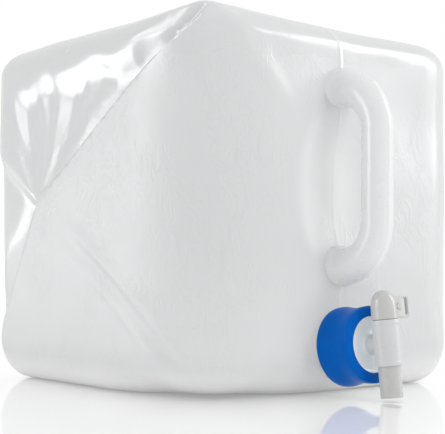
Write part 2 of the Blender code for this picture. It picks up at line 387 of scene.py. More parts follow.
# the disc's pale bluish colour is painted bounce light from the blue ring
tapWhite = mouldedPlastic(
    "tapWhite", (0.66, 0.67, 0.68), (0.72, 0.73, 0.735), (0.26, 0.36), 0.00005, paintedRingBounce=(0.86, 0.91, 0.94)
)
coreGrey = mouldedPlastic("coreGrey", (0.57, 0.57, 0.56), (0.63, 0.63, 0.62), (0.22, 0.32), 0.00005)
gasketWhite = mouldedPlastic("gasketWhite", (0.60, 0.60, 0.57), (0.68, 0.68, 0.65), (0.5, 0.65), 0.00008)
print("materials ready")

bag = dict(
    cells=84,
    height=0.284,
    wall=0.0009,
    sideBulge=0.006,
    frontBulge=0.005,
    topBulge=0.004,
    rimUp=0.022,  # rounding of the top and bottom rims, measured up the walls
    heelUp=0.036,
    edgeRadius=0.028,
    # rounding of the front left edge, from its foot to its top
    nearHeights=(0.0, 0.25, 0.7, 0.92, 1.0),
    nearRadii=(0.064, 0.088, 0.088, 0.050, 0.027),
    flatShare=0.72,  # share of the grid that lies on the flats
    tipRise=0.0155,
    tipPoint=0.0055,
    heelRise=0.006,
    holeRadius=0.0229,
    flatInner=0.034,
    flatOuter=0.060,
    sway=0.0013,
    waver=0.0003,
    beadStep=0.0008,  # a quarter of the parting line's width
    beadHeight=0.0003,
)

bagNodes = ["front_wall", "back_wall", "left_wall", "right_wall", "top_wall", "bottom_wall"]
bagLow = Vector(min(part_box(node)[0][i] for node in bagNodes) for i in range(3))
bagHigh = Vector(max(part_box(node)[1][i] for node in bagNodes) for i in range(3))
halfWidth = (bagHigh.x - bagLow.x) / 2 - bag["sideBulge"]
halfDepth = (bagHigh.y - bagLow.y) / 2 - (bag["sideBulge"] + bag["frontBulge"]) / 2
halves = np.array([halfWidth, halfDepth, bag["height"] / 2])


def cornerRadius(placeX, placeY, height):
    # rounding of the four upright edges; height runs 0 to 1
    near = np.interp(height, bag["nearHeights"], bag["nearRadii"])
    nearness = smoothStep(-placeX / bag["flatShare"]) * smoothStep(-placeY / bag["flatShare"])
    return bag["edgeRadius"] + (near - bag["edgeRadius"]) * nearness


def spreadOut(share, half, radius):
    # places a grid line so that the outer cells share the rounding evenly
    limit = bag["flatShare"]
    size = np.abs(share)
    flat = (half - radius) * size / limit
    angle = math.radians(45) * np.clip((size - limit) / (1 - limit), 0, 1)
    curved = half - radius + radius * np.tan(angle)
    return np.sign(share) * np.where(size <= limit, flat, curved)


def hump(share):
    return np.clip(1 - share * share, 0, None)


def bagSurface(cube):
    # the plain bulged body, for points of a cube from -1 to 1
    height = (cube[:, 2] + 1) / 2
    side = cornerRadius(cube[:, 0], cube[:, 1], height)
    up = np.where(cube[:, 2] > 0, bag["rimUp"], bag["heelUp"])
    radii = np.stack([side, side, up], 1)
    outer = np.stack([spreadOut(cube[:, i], halves[i], radii[:, i]) for i in range(3)], 1)
    inner = np.clip(outer, radii - halves, halves - radii)
    offset = (outer - inner) / radii
    length = np.linalg.norm(offset, axis=1, keepdims=True)
    points = inner + offset / np.maximum(length, 1e-9) * radii
    share = points / halves
    front = np.where(share[:, 1] < 0, bag["frontBulge"], bag["sideBulge"])
    points[:, 0] += bag["sideBulge"] * share[:, 0] * hump(share[:, 1]) * hump(share[:, 2])
    points[:, 1] += front * share[:, 1] * hump(share[:, 0]) * hump(share[:, 2])
    points[:, 2] += bag["topBulge"] * np.clip(share[:, 2], 0, 1) * hump(share[:, 0]) * hump(share[:, 1])
    left = (1 - share[:, 0]) / 2
    forward = (1 - share[:, 1]) / 2
    above = np.clip(share[:, 2], 0, 1)
    tip = smoothStep((left * forward - 0.55) / 0.45)
    points[:, 2] += above * (bag["tipRise"] * left * forward + bag["tipPoint"] * tip)
    heel = np.clip(-share[:, 0] - 0.3, 0, 1) * np.clip(-share[:, 1] - 0.3, 0, 1) / 0.49
    points[:, 2] += bag["heelRise"] * np.clip(-share[:, 2], 0, 1) * np.minimum(heel, 1)
    points[:, 2] += halves[2]
    return points


# folds of a side wall, in metres back from the front face and up from the floor
fold = dict(
    frontTop=(0.002, 0.297),
    backTop=(0.280, 0.262),
    meeting=(0.212, 0.149),
    within=(0.20, 0.24),  # a point inside the folded triangle
    shortBow=0.010,
    backFoot=(0.290, 0.020),
    behindFoot=(0.28, 0.15),
    footDepth=0.0060,
    footSink=0.0040,
    frontFoot=(0.014, 0.016),
    softTop=(0.160, 0.132),
    belowSoft=(0.16, 0.02),
    softBow=0.010,
    # place, height and width of each wave across the soft double crease
    softWaves=((0.0, 0.0040, 0.0055), (0.011, -0.0028, 0.0055), (0.020, 0.0016, 0.0045)),
    lipWidth=0.0065,
    terraceShares=(0.0, 0.06, 0.26, 0.36, 0.52, 0.62, 0.90, 1.0),
    terraces=(0.0, 0.0004, 0.0052, 0.0060, 0.0064, 0.0076, 0.0126, 0.0134),
    stripRamp=0.028,
    stripBacks=(0.0, 0.045, 0.085, 0.12, 0.19, 0.25),
    stripHeights=(0.310, 0.300, 0.275, 0.272, 0.266, 0.256),
    stripWave=0.003,
    crumple=0.0022,
    crumplesRound=3.4,
    crumplesOut=11,
)


def lineDistance(back, up, start, end, inside):
    # signed distance from a fold line, positive on the side where the point called inside lies
    start, end, inside = Vector(start), Vector(end), Vector(inside)
    along = (end - start).normalized()
    normal = Vector((-along.y, along.x))
    if (inside - start).dot(normal) < 0:
        normal.negate()
    return (back - start.x) * normal.x + (up - start.y) * normal.y


def alongShare(back, up, start, end):
    start, end = Vector(start), Vector(end)
    line = end - start
    return ((back - start.x) * line.x + (up - start.y) * line.y) / line.length_squared


def sideFolds(back, up, seed):
    # how far the side wall stands outward, at points given by back and up
    toLong = lineDistance(back, up, fold["frontTop"], fold["meeting"], fold["within"])
    onShort = np.clip(alongShare(back, up, fold["backTop"], fold["meeting"]), 0, 1)
    toShort = lineDistance(back, up, fold["backTop"], fold["meeting"], fold["within"])
    toShort = toShort + fold["shortBow"] * np.sin(onShort * math.pi)
    inside = np.minimum(toLong, toShort)
    width = np.clip(toLong, 0, None) + np.clip(toShort, 0, None)
    share = np.clip(toShort, 0, None) / np.maximum(width, 1e-6)
    size = smoothStep(width / 0.085) * 0.8 + 0.2 * smoothStep(width / 0.02)
    step = np.interp(share, fold["terraceShares"], fold["terraces"])
    stripFoot = np.interp(back, fold["stripBacks"], fold["stripHeights"])
    stripFoot += fold["stripWave"] * np.sin(back * 95 + seed)
    strip = smoothStep((stripFoot - up) / fold["stripRamp"])
    level = -step * size * strip
    level = np.where(inside > 0, level, 0.0)
    lip = smoothStep(toLong / fold["lipWidth"])
    level = np.where((toLong > 0) & (toShort > 0), level * lip, level)
    # crumples that fan out from where the folds meet
    angle = np.arctan2(up - fold["meeting"][1], back - fold["meeting"][0])
    reach = np.hypot(up - fold["meeting"][1], back - fold["meeting"][0])
    around, outwards = angle * fold["crumplesRound"], reach * fold["crumplesOut"]
    places = np.stack([around, outwards, np.full_like(angle, seed)], 1)
    creased = 1 - 2.4 * np.abs(noiseAt(places, 1.0, seed, 3))
    fan = fold["crumple"] * creased * smoothStep(reach / 0.11) * smoothStep(inside / 0.02) * strip
    level += np.where(inside > 0, fan, 0.0)
    # the long crease runs on down to the back foot
    toFoot = lineDistance(back, up, fold["meeting"], fold["backFoot"], fold["behindFoot"])
    onFoot = alongShare(back, up, fold["meeting"], fold["backFoot"])
    footFade = smoothStep((onFoot + 0.05) / 0.1) * smoothStep((1.05 - onFoot) / 0.4)
    groove = np.exp(-(((toFoot - 0.006) / 0.011) ** 2)) * smoothStep((toFoot + 0.0005) / 0.005)
    level -= footFade * (fold["footDepth"] * groove + fold["footSink"] * smoothStep(toFoot / 0.02))
    # a soft double crease up from the front foot
    onSoft = alongShare(back, up, fold["frontFoot"], fold["softTop"])
    toSoft = lineDistance(back, up, fold["frontFoot"], fold["softTop"], fold["belowSoft"])
    toSoft = toSoft + fold["softBow"] * np.sin(np.clip(onSoft, 0, 1) * math.pi)
    softFade = smoothStep(onSoft / 0.2) * smoothStep((1.1 - onSoft) / 0.45)
    for place, height, width in fold["softWaves"]:
        level += softFade * height * np.exp(-(((toSoft - place) / width) ** 2))
    return level


recess = dict(centre=0.160, halfWidth=0.044, halfHeight=0.060, depth=0.0115)

# dents and folds of the front wall, in metres to the right of the middle and up from the floor
frontShape = dict(
    foldTop=(-0.104, 0.276),
    foldFoot=(-0.058, 0.226),
    aboveFold=(-0.05, 0.27),
    foldHeight=0.0016,
    foldWidth=0.008,
    dentPlace=(0.088, 0.216),
    dentReach=0.06,
    dentDepth=0.0050,
    edgeFold=0.098,
    edgeSway=0.006,
    edgeWidth=0.03,
    edgeDepth=0.0030,
)


def frontFeatures(across, up):
    # dents and creases of the front wall, positive into the bag
    reach = np.hypot(across / recess["halfWidth"], (up - recess["centre"]) / recess["halfHeight"])
    dent = recess["depth"] * smoothStep((1.22 - reach) / 0.95)
    toFold = lineDistance(across, up, frontShape["foldTop"], frontShape["foldFoot"], frontShape["aboveFold"])
    onFold = alongShare(across, up, frontShape["foldTop"], frontShape["foldFoot"])
    foldFade = smoothStep(onFold / 0.3 + 0.5) * smoothStep((1.3 - onFold) / 0.5)
    dent -= frontShape["foldHeight"] * np.exp(-((toFold / frontShape["foldWidth"]) ** 2)) * foldFade
    corner = np.hypot(across - frontShape["dentPlace"][0], up - frontShape["dentPlace"][1])
    dent += frontShape["dentDepth"] * smoothStep(1 - corner / frontShape["dentReach"])
    # a soft fold beside the right edge, past which the wall turns away
    foldLine = frontShape["edgeFold"] - frontShape["edgeSway"] * np.sin((up - 0.06) * 16)
    turning = smoothStep((across - foldLine) / frontShape["edgeWidth"])
    dent += frontShape["edgeDepth"] * turning * smoothStep((up - 0.03) / 0.05)
    return dent


def neckFlat(points):
    # round the neck the wall is drawn back to a flat patch
    reach = np.hypot(points[:, 0], points[:, 2] - neckBase.z)
    share = smoothStep((bag["flatOuter"] - reach) / (bag["flatOuter"] - bag["flatInner"]))
    return np.clip(-halfDepth - points[:, 1], 0, None) * share


def cutShape(shape, geometry, place, normal, snap):
    bmesh.ops.bisect_plane(shape, geom=geometry, plane_co=place, plane_no=normal, dist=snap)


def creaseCuts(shape):
    # edges are laid along the sharp folds, so that they stay straight
    lines = [
        (fold["frontTop"], fold["meeting"]),
        (fold["backTop"], fold["meeting"]),
        (fold["meeting"], fold["backFoot"]),
    ]
    for start, end in lines:
        start, end = Vector(start), Vector(end)
        along = (end - start).normalized()
        normal = Vector((0, -along.y, along.x))
        inner = Vector((0, start.x - halfDepth, start.y))
        for shift in (0.0, fold["lipWidth"] * 0.5, fold["lipWidth"]):
            for sign in (-1, 1):
                sided = [face for face in shape.faces if face.normal.x * sign > 0.6]
                edges = dict.fromkeys(edge for face in sided for edge in face.edges)
                verts = dict.fromkeys(vert for face in sided for vert in face.verts)
                cutShape(shape, [*edges, *verts, *sided], inner + normal * shift, normal, 0.0004)


def beadCuts(shape):
    # narrow rows of faces beside the middle plane, for the mould's parting line
    for step in (-2, -1, 1, 2):
        geometry = shape.verts[:] + shape.edges[:] + shape.faces[:]
        cutShape(shape, geometry, (step * bag["beadStep"], 0, 0), (1, 0, 0), 0.0001)


def makeBag():
    shape = bmesh.new()
    bmesh.ops.create_cube(shape, size=2.0)
    bmesh.ops.subdivide_edges(shape, edges=shape.edges[:], cuts=bag["cells"] - 1, use_grid_fill=True)
    cube = np.array([vert.co[:] for vert in shape.verts])
    points = bagSurface(cube)
    for vert, point in zip(shape.verts, points):
        vert.co = point
    shape.normal_update()
    creaseCuts(shape)
    beadCuts(shape)
    shape.normal_update()
    points = np.array([vert.co[:] for vert in shape.verts])
    normals = np.array([vert.normal[:] for vert in shape.verts])
    back = points[:, 1] + halfDepth
    up = points[:, 2]
    for sign, strength, seed in ((-1, 1.0, 1.0), (1, 0.75, 5.0)):
        weight = smoothStep((sign * normals[:, 0] - 0.25) / 0.35) * smoothStep((up - 0.008) / 0.03)
        chosen = weight > 0
        move = np.zeros(len(points))
        move[chosen] = sideFolds(back[chosen], up[chosen], seed) * strength
        points[:, 0] += sign * weight * move
    weight = smoothStep((-normals[:, 1] - 0.5) / 0.4)
    points[:, 1] += weight * (frontFeatures(points[:, 0], up) + neckFlat(points))
    # slow unevenness of a thin wall
    sway = noiseAt(points, 0.11, 2.0, 2) * bag["sway"] + noiseAt(points, 0.035, 7.0, 2) * bag["waver"]
    fromNeck = np.hypot(points[:, 0], up - neckBase.z)
    calm = smoothStep(up / 0.05) * smoothStep((fromNeck - bag["flatInner"]) / 0.02)
    onBead = smoothStep(1 - np.abs(points[:, 0]) / (2 * bag["beadStep"]))
    bead = bag["beadHeight"] * onBead * smoothStep(up / 0.02)
    points += normals * (sway * calm + bead)[:, None]
    gloss = shape.verts.layers.float.new("gloss")
    # this layer holds painted light: paler in the recess and round the bottom rim, and paler low down on the
    # left
    paleAndPaintedLight = shape.verts.layers.float.new("paleAndPaintedLight")
    for vert, point, shine, paintedLightPaleness in zip(shape.verts, points, glossAt(points, normals), paintedLightAndPalenessAt(points)):
        vert.co = point
        vert[gloss] = shine
        vert[paleAndPaintedLight] = paintedLightPaleness
    openNeckHole(shape)
    mesh = bpy.data.meshes.new("bag")
    shape.to_mesh(mesh)
    shape.free()
    piece = linkObject("bag", smoothShade(mesh, 60), milky)
    skin = piece.modifiers.new("wall", "SOLIDIFY")
    skin.thickness = bag["wall"]
    skin.offset = -1
    return bakeModifiers(piece)


def glossAt(points, normals):
    # shiny where the wall is stretched over folds and rims, matt where it is finely wrinkled
    back, up = points[:, 1] + halfDepth, points[:, 2]
    toLong = lineDistance(back, up, fold["frontTop"], fold["meeting"], fold["within"])
    onSide = smoothStep((np.abs(normals[:, 0]) - 0.3) / 0.4)
    folds = smoothStep((toLong + 0.004) / 0.006) * onSide
    rims = smoothStep((up - 0.235) / 0.035) * smoothStep((0.97 - normals[:, 2]) / 0.12)
    right = smoothStep((points[:, 0] - 0.100) / 0.025)
    return np.clip(np.maximum(np.maximum(folds, rims), right), 0, 1)


# painted light: how much paler the recess and the bottom rim are painted, and how pale the wall is low down
# on the left
paintedLightAndPaleness = dict(recess=0.65, low=0.3, lowTop=0.14, footTop=0.036)


def paintedLightAndPalenessAt(points):
    # painted light: the wall is painted paler in the recess behind the handle, and round the bottom rim
    # where it lifts the shade; it is also paler low down on the left
    across, up = points[:, 0], points[:, 2]
    reach = np.hypot(across / recess["halfWidth"], (up - recess["centre"]) / recess["halfHeight"])
    # painted light in the recess behind the handle
    paintedRecessLight = smoothStep((1.25 - reach) / 0.8) * (points[:, 1] < 0) * paintedLightAndPaleness["recess"]
    # painted light round the bottom rim, lifting its shade
    foot = smoothStep((paintedLightAndPaleness["footTop"] - up) / 0.03)
    low = paintedLightAndPaleness["low"] * smoothStep((paintedLightAndPaleness["lowTop"] - up) / 0.12) * smoothStep((0.06 - across) / 0.1)
    return np.maximum(np.maximum(paintedRecessLight, foot), low)


def openNeckHole(shape):
    toNeck = neckFrame.inverted()
    radius = bag["holeRadius"]
    doomed = []
    for face in shape.faces:
        middle = toNeck @ face.calc_center_median()
        if abs(middle.z) < 0.04 and math.hypot(middle.x, middle.y) < radius:  # not the back wall's faces
            doomed.append(face)
    bmesh.ops.delete(shape, geom=doomed, context="FACES")
    for vert in shape.verts:
        if not vert.is_boundary:
            continue
        place = toNeck @ vert.co
        reach = math.hypot(place.x, place.y)
        vert.co = neckFrame @ Vector((place.x * radius / reach, place.y * radius / reach, place.z))


bagPiece = makeBag()
print("bag:", len(bagPiece.data.polygons), "faces")

handle = dict(
    out=0.0405,
    stub=0.004,  # straight stretch of the roots, next to the wall
    rootTop=0.2405,
    rootBottom=0.1010,
    bendTop=0.206,
    bendBottom=0.137,
    gripDeep=0.0126,
    gripWide=0.0122,
    rootDeep=0.0142,
    rootWide=0.0160,
    flareDeep=0.0020,
    flareWide=0.0052,
    flareLength=0.013,
    bendRings=44,
    gripRings=20,
    around=56,
    flash=0.0005,
    flashWidth=0.09,
)
handleEnds = (0.001, -0.003, -0.007)  # how far the roots run out of and into the wall


def handleRoute():
    # (distance out from the wall, height, share of the way from root to grip), from top to bottom
    reach = handle["out"] - handle["stub"]
    route = [(out, handle["rootTop"], 0.0) for out in reversed(handleEnds)]
    for step in range(handle["bendRings"] + 1):
        angle = math.radians(90) * step / handle["bendRings"]
        height = handle["bendTop"] + (handle["rootTop"] - handle["bendTop"]) * math.cos(angle)
        route.append((handle["stub"] + reach * math.sin(angle), height, step / handle["bendRings"]))
    for step in range(1, handle["gripRings"]):
        height = handle["bendTop"] + (handle["bendBottom"] - handle["bendTop"]) * step / handle["gripRings"]
        route.append((handle["out"], height, 1.0))
    for step in range(handle["bendRings"] + 1):
        angle = math.radians(90) * step / handle["bendRings"]
        height = handle["bendBottom"] - (handle["bendBottom"] - handle["rootBottom"]) * math.sin(angle)
        route.append((handle["stub"] + reach * math.cos(angle), height, 1 - step / handle["bendRings"]))
    return route + [(out, handle["rootBottom"], 0.0) for out in handleEnds]


def makeHandle():
    route = handleRoute()
    points = []
    faces = []
    around = handle["around"]
    for index, (out, height, share) in enumerate(route):
        before = route[max(index - 1, 0)]
        after = route[min(index + 1, len(route) - 1)]
        along = Vector((before[0] - after[0], after[1] - before[1])).normalized()
        normal = Vector((along.y, -along.x))
        thinned = float(smoothStep(share * 1.1))
        flare = max(0.0, 1 - max(out, 0.0) / handle["flareLength"]) ** 2
        deep = handle["rootDeep"] + (handle["gripDeep"] - handle["rootDeep"]) * thinned
        deep += handle["flareDeep"] * flare
        wide = handle["rootWide"] + (handle["gripWide"] - handle["rootWide"]) * thinned
        wide += handle["flareWide"] * flare
        for step in range(around):
            angle = 2 * math.pi * step / around
            seam = handle["flash"] * math.exp(-((math.sin(angle) / handle["flashWidth"]) ** 2))
            off = normal * math.cos(angle) * (deep + seam)
            points.append((math.sin(angle) * wide, -halfDepth - out + off.x, height + off.y))
    for ring in range(len(route) - 1):
        for step in range(around):
            following = (step + 1) % around
            low = ring * around
            faces.append((low + step, low + following, low + around + following, low + around + step))
    faces.append(tuple(range(around)))
    faces.append(tuple(range(len(points) - around, len(points))))
    mesh = faceOutwards(meshFromLists("carryHandle", points, faces))
    return linkObject("carryHandle", smoothShade(mesh, 70), milkyThick)


handlePiece = makeHandle()
print("handle:", len(handlePiece.data.polygons), "faces")


def threadTree():
    # a ridge wound round an upright axis, with its sizes as inputs
    tree = bpy.data.node_groups.new("screwThread", "GeometryNodeTree")
    face = tree.interface
    face.new_socket("Geometry", in_out="INPUT", socket_type="NodeSocketGeometry")
    sizes = {"Radius": 0.02, "Turns": 3.0, "Rise": 0.01, "Start": 0.0, "Ridge": 0.001}
    for name, value in sizes.items():
        face.new_socket(name, in_out="INPUT", socket_type="NodeSocketFloat").default_value = value
    face.new_socket("Finish", in_out="INPUT", socket_type="NodeSocketMaterial")
    face.new_socket("Geometry", in_out="OUTPUT", socket_type="NodeSocketGeometry")
    given = tree.nodes.new("NodeGroupInput")
    result = tree.nodes.new("NodeGroupOutput")
    wound = tree.nodes.new("GeometryNodeCurveSpiral")
    wound.inputs["Resolution"].default_value = 48
    tree.links.new(given.outputs["Turns"], wound.inputs["Rotations"])
    tree.links.new(given.outputs["Radius"], wound.inputs["Start Radius"])
    tree.links.new(given.outputs["Radius"], wound.inputs["End Radius"])
    tree.links.new(given.outputs["Rise"], wound.inputs["Height"])
    raised = tree.nodes.new("GeometryNodeTransform")
    shift = tree.nodes.new("ShaderNodeCombineXYZ")
    tree.links.new(given.outputs["Start"], shift.inputs["Z"])
    tree.links.new(wound.outputs["Curve"], raised.inputs["Geometry"])
    tree.links.new(shift.outputs["Vector"], raised.inputs["Translation"])
    section = tree.nodes.new("GeometryNodeCurvePrimitiveCircle")
    section.inputs["Resolution"].default_value = 8
    tree.links.new(given.outputs["Ridge"], section.inputs["Radius"])
    swept = tree.nodes.new("GeometryNodeCurveToMesh")
    swept.inputs["Fill Caps"].default_value = True
    tree.links.new(raised.outputs["Geometry"], swept.inputs["Curve"])
    tree.links.new(section.outputs["Curve"], swept.inputs["Profile Curve"])
    joined = tree.nodes.new("GeometryNodeJoinGeometry")
    tree.links.new(swept.outputs["Mesh"], joined.inputs["Geometry"])
    tree.links.new(given.outputs["Geometry"], joined.inputs["Geometry"])
    realised = tree.nodes.new("GeometryNodeRealizeInstances")
    painted = tree.nodes.new("GeometryNodeSetMaterial")
    tree.links.new(joined.outputs["Geometry"], realised.inputs["Geometry"])
    tree.links.new(realised.outputs["Geometry"], painted.inputs["Geometry"])
    tree.links.new(given.outputs["Finish"], painted.inputs["Material"])
    tree.links.new(painted.outputs["Geometry"], result.inputs["Geometry"])
    return tree


screwThread = threadTree()


def addThread(piece, material, **sizes):
    step = piece.modifiers.new("thread", "NODES")
    step.node_group = screwThread
    sockets = [item for item in screwThread.interface.items_tree if item.in_out == "INPUT"]
    named = {socket.name: socket.identifier for socket in sockets}
    for name, value in sizes.items():
        step[named[name]] = float(value)
    step[named["Finish"]] = material
    return bakeModifiers(piece)


neck = dict(
    radius=0.0242,
    bore=0.0215,
    start=-0.012,
    end=0.0261,
    pitch=0.006,
    threadStart=0.0072,
    threadTurns=2.8,
    ridge=0.0009,
)


def makeNeck():
    profile = softProfile([
        (neck["bore"], neck["end"], 0.0008),
        (neck["radius"], neck["end"], 0.0008),
        (neck["radius"], neck["start"], 0.0006),
        (neck["bore"], neck["start"], 0.0006),
    ])
    piece = linkObject("threadedNeck", turnedMesh("threadedNeck", profile), milkyThick)
    addThread(
        piece, milkyThick,
        Radius=neck["radius"], Turns=neck["threadTurns"], Rise=neck["pitch"] * neck["threadTurns"],
        Start=neck["threadStart"], Ridge=neck["ridge"],
    )
    piece.data.transform(neckFrame)
    smoothShade(piece.data, 40)
    return piece


neckPiece = makeNeck()
print("neck:", len(neckPiece.data.polygons), "faces")

ring = dict(
    start=0.0030,
    lip=0.0315,
    front=0.0345,
    baseRadius=0.0311,
    waistRadius=0.0288,
    frontRadius=0.0299,
    bore=0.0262,
    window=0.0217,
    threadTurns=2.9,
    ridge=0.00085,
)


def makeRing():
    profile = softProfile([
        (ring["window"], ring["front"], 0.0009),
        (ring["frontRadius"], ring["front"], 0.0022),
        (ring["frontRadius"] - 0.0002, ring["front"] - 0.006, 0.003),
        (ring["waistRadius"], ring["front"] - 0.015, 0.007),
        (ring["baseRadius"] - 0.0004, ring["start"] + 0.007, 0.004),
        (ring["baseRadius"], ring["start"] + 0.0045, 0.0018),
        (ring["baseRadius"], ring["start"], 0.0012),
        (ring["bore"], ring["start"], 0.0008),
        (ring["bore"], ring["lip"], 0.0008),
        (ring["window"], ring["lip"], 0.0004),
    ], 5)
    piece = linkObject("ringNut", turnedMesh("ringNut", profile, 128), ringBlue)
    addThread(
        piece, ringBlue,
        Radius=ring["bore"] + 0.0001, Turns=ring["threadTurns"], Rise=neck["pitch"] * ring["threadTurns"],
        Start=ring["start"] + 0.003, Ridge=ring["ridge"],
    )
    piece.data.transform(neckFrame)
    smoothShade(piece.data, 40)
    return piece


ringPiece = makeRing()
ringPiece.visible_diffuse = False  # keeps its blue off the milky wall behind it
print("ring nut:", len(ringPiece.data.polygons), "faces")

tap = dict(
    flangeLow=0.0286,
    flangeHigh=0.0312,
    flangeRadius=0.0252,
    station=0.0483,
    stemRadius=0.0068,
    stemBore=0.0046,
    barrelRadius=0.0108,
    barrelBore=0.0090,
    barrelHalf=0.0175,
    cutHalf=0.03,  # half the length of the rod that bores the barrel
    wayStart=0.02,  # the rod that bores the stem starts inside the neck
)


def cutWith(piece, cutter, operation):
    step = piece.modifiers.new(cutter.name, "BOOLEAN")
    step.object = cutter
    step.operation = operation
    step.solver = "EXACT"
    bakeModifiers(piece)
    mesh = cutter.data
    bpy.data.objects.remove(cutter)
    bpy.data.meshes.remove(mesh)


def rodPiece(name, radius, low, high, segments, material):
    outline = [(0, low), (radius, low), (radius, high), (0, high)]
    return linkObject(name, turnedMesh(name, outline, segments, closed=False), material)


def makeTap():
    low, high = tap["flangeLow"], tap["flangeHigh"]
    stem = softProfile([
        (0.0, low, 0),
        (tap["flangeRadius"], low, 0.0006),
        (tap["flangeRadius"], high, 0.0006),
        (0.0200, high, 0.0005),
        (0.0192, high - 0.0009, 0.0005),
        (0.0105, high - 0.0007, 0.001),
        (tap["stemRadius"] + 0.0012, high + 0.0006, 0.001),
        (tap["stemRadius"], high + 0.0030, 0.001),
        (tap["stemRadius"], tap["station"], 0),
        (0.0, tap["station"], 0),
    ])
    body = linkObject("tapBody", turnedMesh("tapBody", stem, 72, closed=False), tapWhite)
    body.data.transform(neckFrame)
    half = tap["barrelHalf"]
    wide = tap["barrelRadius"]
    outside = softProfile([
        (0.0, half, 0),
        (wide, half, 0.0010),
        (wide, half - 0.0034, 0.0004),
        (wide - 0.0005, half - 0.0038, 0.0004),
        (wide - 0.0005, 0.0032 - half, 0.0004),
        (wide, 0.0028 - half, 0.0004),
        (wide, -half, 0.0008),
        (0.0, -half, 0),
    ])
    barrel = linkObject("barrel", turnedMesh("barrel", outside, 72, closed=False), tapWhite)
    barrel.data.transform(barrelFrame)
    cutWith(body, barrel, "UNION")
    bore = rodPiece("bore", tap["barrelBore"], -tap["cutHalf"], tap["cutHalf"], 72, tapWhite)
    bore.data.transform(barrelFrame)
    cutWith(body, bore, "DIFFERENCE")
    way = rodPiece("way", tap["stemBore"], tap["wayStart"], tap["station"], 48, tapWhite)
    way.data.transform(neckFrame)
    cutWith(body, way, "DIFFERENCE")
    smoothShade(body.data, 35)
    return body


tapPiece = makeTap()
print("tap body:", len(tapPiece.data.polygons), "faces")

core = dict(
    radius=0.0086,
    shoulder=0.0178,
    domeRadius=0.0098,
    domeTop=0.0405,
    domeRise=0.0125,
    bore=0.0062,
    roof=0.0065,
    spoutEnd=-0.0415,
    port=0.0040,
    domeSteps=12,
)
wingLook = dict(
    start=0.003,
    reach=0.0270,
    low=0.0183,
    high=0.0364,
    thickness=0.0032,
    corner=0.0024,
    windowWidth=0.0050,
    rimSide=0.0022,  # what is left outside the window
    rimEnd=0.0026,
    windowCorner=0.0014,
    edge=0.0006,
    bossPlace=0.0152,
    bossRadius=0.0026,
    bossHalf=0.0024,
)


def makeCore():
    flank = core["domeTop"] - core["domeRise"]
    dome = []
    for step in range(core["domeSteps"] + 1):
        angle = math.radians(90) * step / core["domeSteps"]
        dome.append((core["domeRadius"] * math.sin(angle), flank + core["domeRise"] * math.cos(angle), 0))
    rest = [
        (core["domeRadius"] + 0.0004, core["shoulder"] + 0.0012, 0.0005),
        (core["domeRadius"] + 0.0004, core["shoulder"], 0.0004),
        (core["radius"], core["shoulder"], 0.0002),
        (core["radius"], -tap["barrelHalf"] - 0.0012, 0),
        (core["radius"], core["spoutEnd"], 0.0008),
        (core["bore"], core["spoutEnd"], 0.0008),
        (core["bore"], core["roof"], 0.0010),
        (0.0, core["roof"], 0),
    ]
    profile = softProfile(dome + rest)
    body = linkObject("valveCore", turnedMesh("valveCore", profile, 72, closed=False), coreGrey)
    wing = wingPiece()
    cutWith(body, wing, "UNION")
    port = rodPiece("port", core["port"], 0, 0.02, 48, coreGrey)
    port.data.transform(Matrix.Rotation(math.radians(-90), 4, "Y"))
    cutWith(body, port, "DIFFERENCE")
    body.data.transform(barrelFrame)
    smoothShade(body.data, 35)
    return body


def roundedOutline(low, high, radius, steps=6):
    # a rectangle's outline with round corners, as points
    points = []
    spots = [
        (high[0] - radius, high[1] - radius, 0),
        (low[0] + radius, high[1] - radius, 90),
        (low[0] + radius, low[1] + radius, 180),
        (high[0] - radius, low[1] + radius, 270),
    ]
    for x, z, turn in spots:
        for step in range(steps + 1):
            angle = math.radians(turn + 90 * step / steps)
            points.append((x + radius * math.cos(angle), z + radius * math.sin(angle)))
    return points


def plateMesh(name, outline, half):
    count = len(outline)
    points = [(x, -half, z) for x, z in outline] + [(x, half, z) for x, z in outline]
    faces = [tuple(range(count)), tuple(range(2 * count - 1, count - 1, -1))]
    for step in range(count):
        following = (step + 1) % count
        faces.append((step, following, count + following, count + step))
    return faceOutwards(meshFromLists(name, points, faces))


def wingPiece():
    look = wingLook
    low, high, reach = look["low"], look["high"], look["reach"]
    outline = roundedOutline((look["start"], low), (reach, high), look["corner"])
    wing = linkObject("wing", plateMesh("wing", outline, look["thickness"] / 2), coreGrey)
    outer = reach - look["rimSide"]
    bottom, top = low + look["rimEnd"], high - look["rimEnd"]
    opening = roundedOutline((outer - look["windowWidth"], bottom), (outer, top), look["windowCorner"])
    cutWith(wing, linkObject("window", plateMesh("window", opening, 0.02), coreGrey), "DIFFERENCE")
    edge = wing.modifiers.new("edge", "BEVEL")
    edge.width = look["edge"]
    edge.segments = 3
    edge.limit_method = "ANGLE"
    bakeModifiers(wing)
    radius, half = look["bossRadius"], look["bossHalf"]
    profile = softProfile([(0, -half, 0), (radius, -half, 0.0005), (radius, half, 0.0005), (0, half, 0)])
    boss = linkObject("boss", turnedMesh("boss", profile, 32, closed=False), coreGrey)
    place = Matrix.Translation((look["bossPlace"], 0, (low + high) / 2))
    boss.data.transform(place @ Matrix.Rotation(math.radians(90), 4, "X"))
    cutWith(wing, boss, "UNION")
    return wing


corePiece = makeCore()
print("valve core:", len(corePiece.data.polygons), "faces")

# the gasket keeps its CAD shape
gasketNode = frame["nodes"]["neck_gasket"]
gasketNode.data.materials.clear()
gasketNode.data.materials.append(gasketWhite)

